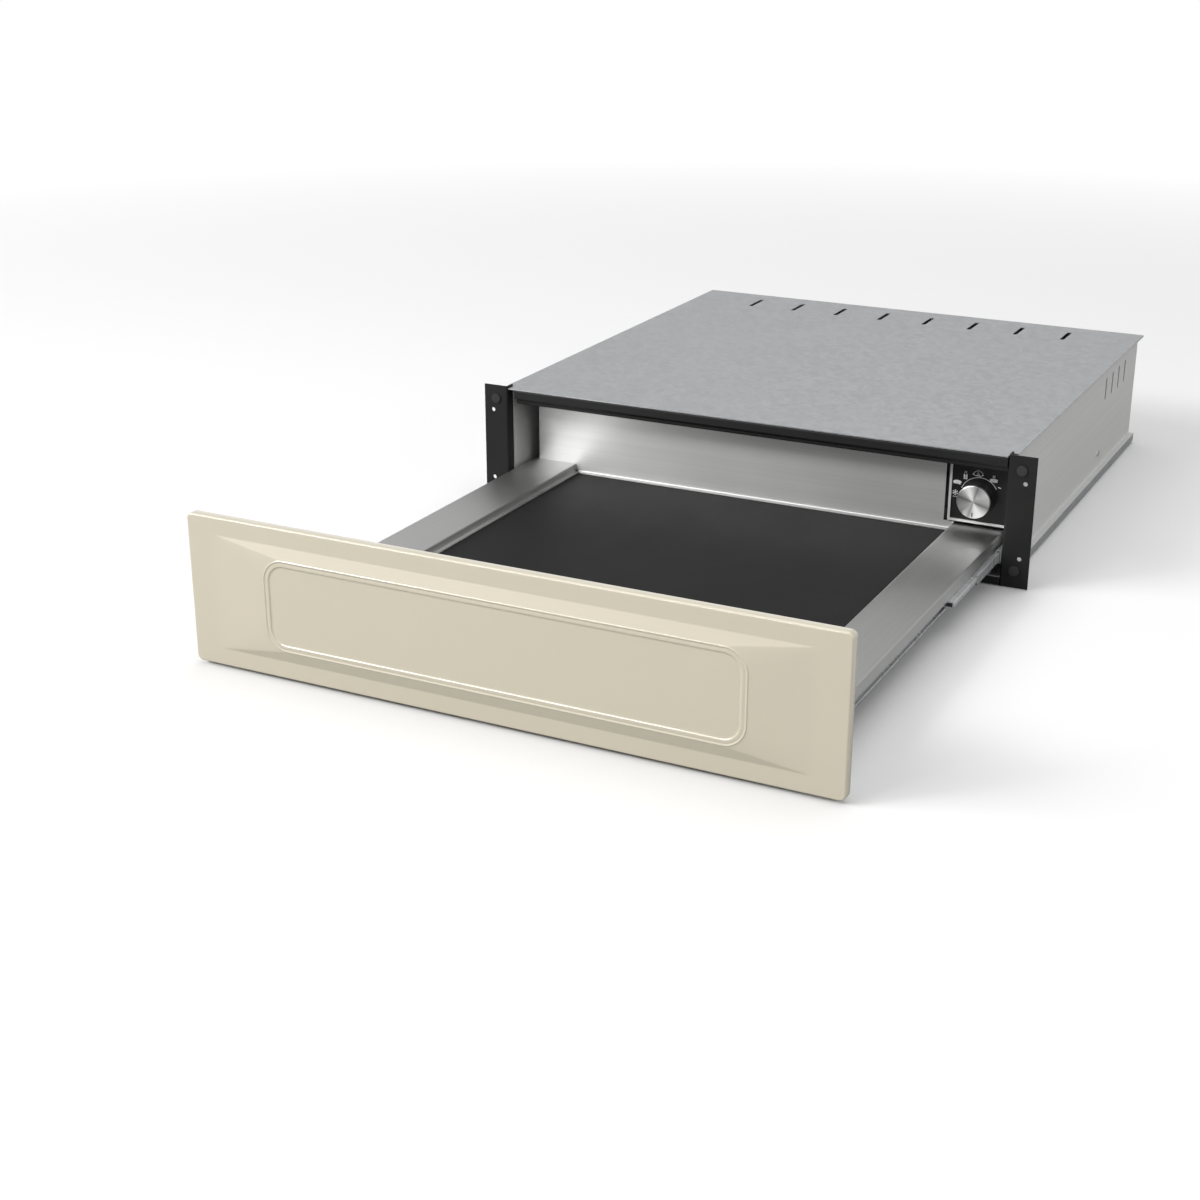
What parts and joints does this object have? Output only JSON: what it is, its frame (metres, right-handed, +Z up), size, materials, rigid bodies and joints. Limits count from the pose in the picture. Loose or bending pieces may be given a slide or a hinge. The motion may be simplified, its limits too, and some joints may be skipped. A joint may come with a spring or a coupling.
{
  "type": "warming drawer",
  "caption": "Built-in warming drawer, drawn open: enamelled push front, stainless tray with a black glass floor, side control knob and telescopic runners.",
  "frame": {"origin": "middle of the part's footprint, drawn open, on the niche floor (z = 0)", "axes": "+X to the right as seen by the user, +Y into the cabinet, +Z up"},
  "size_m": [0.597, 1.0612, 0.138],
  "materials": {
    "cream_enamel": "glossy cream stove enamel",
    "stainless": "brushed stainless sheet",
    "galvanised": "galvanised sheet",
    "zinc_hardware": "bright zinc plating",
    "runner_zinc": "zinc-plated rolled steel",
    "black_steel": "satin black powder coat",
    "black_fascia": "satin black fascia",
    "black_glass": "etched black toughened glass",
    "mineral_mat": "mineral fibre board",
    "element_sheath": "annealed steel sheath",
    "bush_ceramic": "unglazed steatite",
    "phenolic": "brown phenolic moulding",
    "silicone": "grey silicone",
    "black_rubber": "black rubber",
    "black_plastic": "black nylon",
    "pale_plastic": "natural nylon",
    "red_lens": "red lamp lens, unlit",
    "knob_black": "black moulded knob body",
    "knob_aluminium": "spun aluminium"
  },
  "bodies": {
    "carcass": {"base_pan": "galvanised", "base_feet": "black_rubber", "rear_wall": "galvanised", "top_cover": "galvanised", "top_front_rail": "black_steel", "bottom_front_trim": "black_steel", "front_bumpers": "black_rubber", "carcass_rivets": "zinc_hardware", "control_housing": "galvanised", "control_fascia": "black_fascia", "control_bezel": "stainless", "indicator_lens": "red_lens", "thermostat": "phenolic", "push_latch": "black_plastic", "cable_gland": "black_plastic", "terminal_block": "pale_plastic", "runner_fixed_left": "runner_zinc", "runner_fixed_right": "runner_zinc", "side_plate_left": "stainless", "side_plate_right": "stainless", "front_flange_left": "black_steel", "front_flange_right": "black_steel"},
    "drawer": {"front_panel": "cream_enamel", "front_backplate": "galvanised", "front_crossmember": "galvanised", "front_screws": "zinc_hardware", "tray_front_strip": "stainless", "tray_pan": "galvanised", "insulation_mat": "mineral_mat", "heating_element": "element_sheath", "element_clips": "galvanised", "element_bushes": "bush_ceramic", "thermal_cutout": "phenolic", "glass_support": "galvanised", "glass_gasket": "silicone", "glass_plate": "black_glass", "back_wall": "stainless", "rear_crossmember": "galvanised", "latch_striker": "zinc_hardware", "drawer_rivets": "zinc_hardware", "side_cover_left": "stainless", "side_cover_right": "stainless", "side_rail_left": "galvanised", "side_rail_right": "galvanised", "runner_drawer_left": "runner_zinc", "runner_drawer_right": "runner_zinc"},
    "runner_middle_left": {"runner_middle_left": "runner_zinc"},
    "runner_middle_right": {"runner_middle_right": "runner_zinc"},
    "ball_cage_left": {"ball_cage_left": "runner_zinc"},
    "ball_cage_right": {"ball_cage_right": "runner_zinc"},
    "knob": {"knob_skirt": "knob_black", "knob_cap": "knob_aluminium", "knob_spindle": "zinc_hardware"},
    "latch_plunger": {"latch_plunger": "pale_plastic"}
  },
  "joints": [
    {"name": "drawer_slide", "type": "slide", "parent": "carcass", "child": "drawer", "axis": [0, -1, 0], "range_m": [-0.48, 0]},
    {"name": "middle_left_slide", "type": "slide", "parent": "carcass", "child": "runner_middle_left", "axis": [0, -1, 0], "range_m": [-0.144, 0]},
    {"name": "cage_left_slide", "type": "slide", "parent": "carcass", "child": "ball_cage_left", "axis": [0, -1, 0], "range_m": [-0.072, 0]},
    {"name": "middle_right_slide", "type": "slide", "parent": "carcass", "child": "runner_middle_right", "axis": [0, -1, 0], "range_m": [-0.144, 0]},
    {"name": "cage_right_slide", "type": "slide", "parent": "carcass", "child": "ball_cage_right", "axis": [0, -1, 0], "range_m": [-0.072, 0]},
    {"name": "knob_turn", "type": "hinge", "parent": "carcass", "child": "knob", "pos_m": [0.2347, 0.01075, 0.0745], "axis": [0, 1, 0], "range_deg": [0, 270]},
    {"name": "plunger_press", "type": "slide", "parent": "carcass", "child": "latch_plunger", "axis": [0, 1, 0], "range_m": [0, 0.004], "stiffness_N_per_m": 1500, "springref_m": -0.002}
  ],
  "couplings": [
    {"joint": "middle_left_slide", "follows": "drawer_slide", "ratio": 0.3},
    {"joint": "cage_left_slide", "follows": "drawer_slide", "ratio": 0.15},
    {"joint": "middle_right_slide", "follows": "drawer_slide", "ratio": 0.3},
    {"joint": "cage_right_slide", "follows": "drawer_slide", "ratio": 0.15}
  ]
}
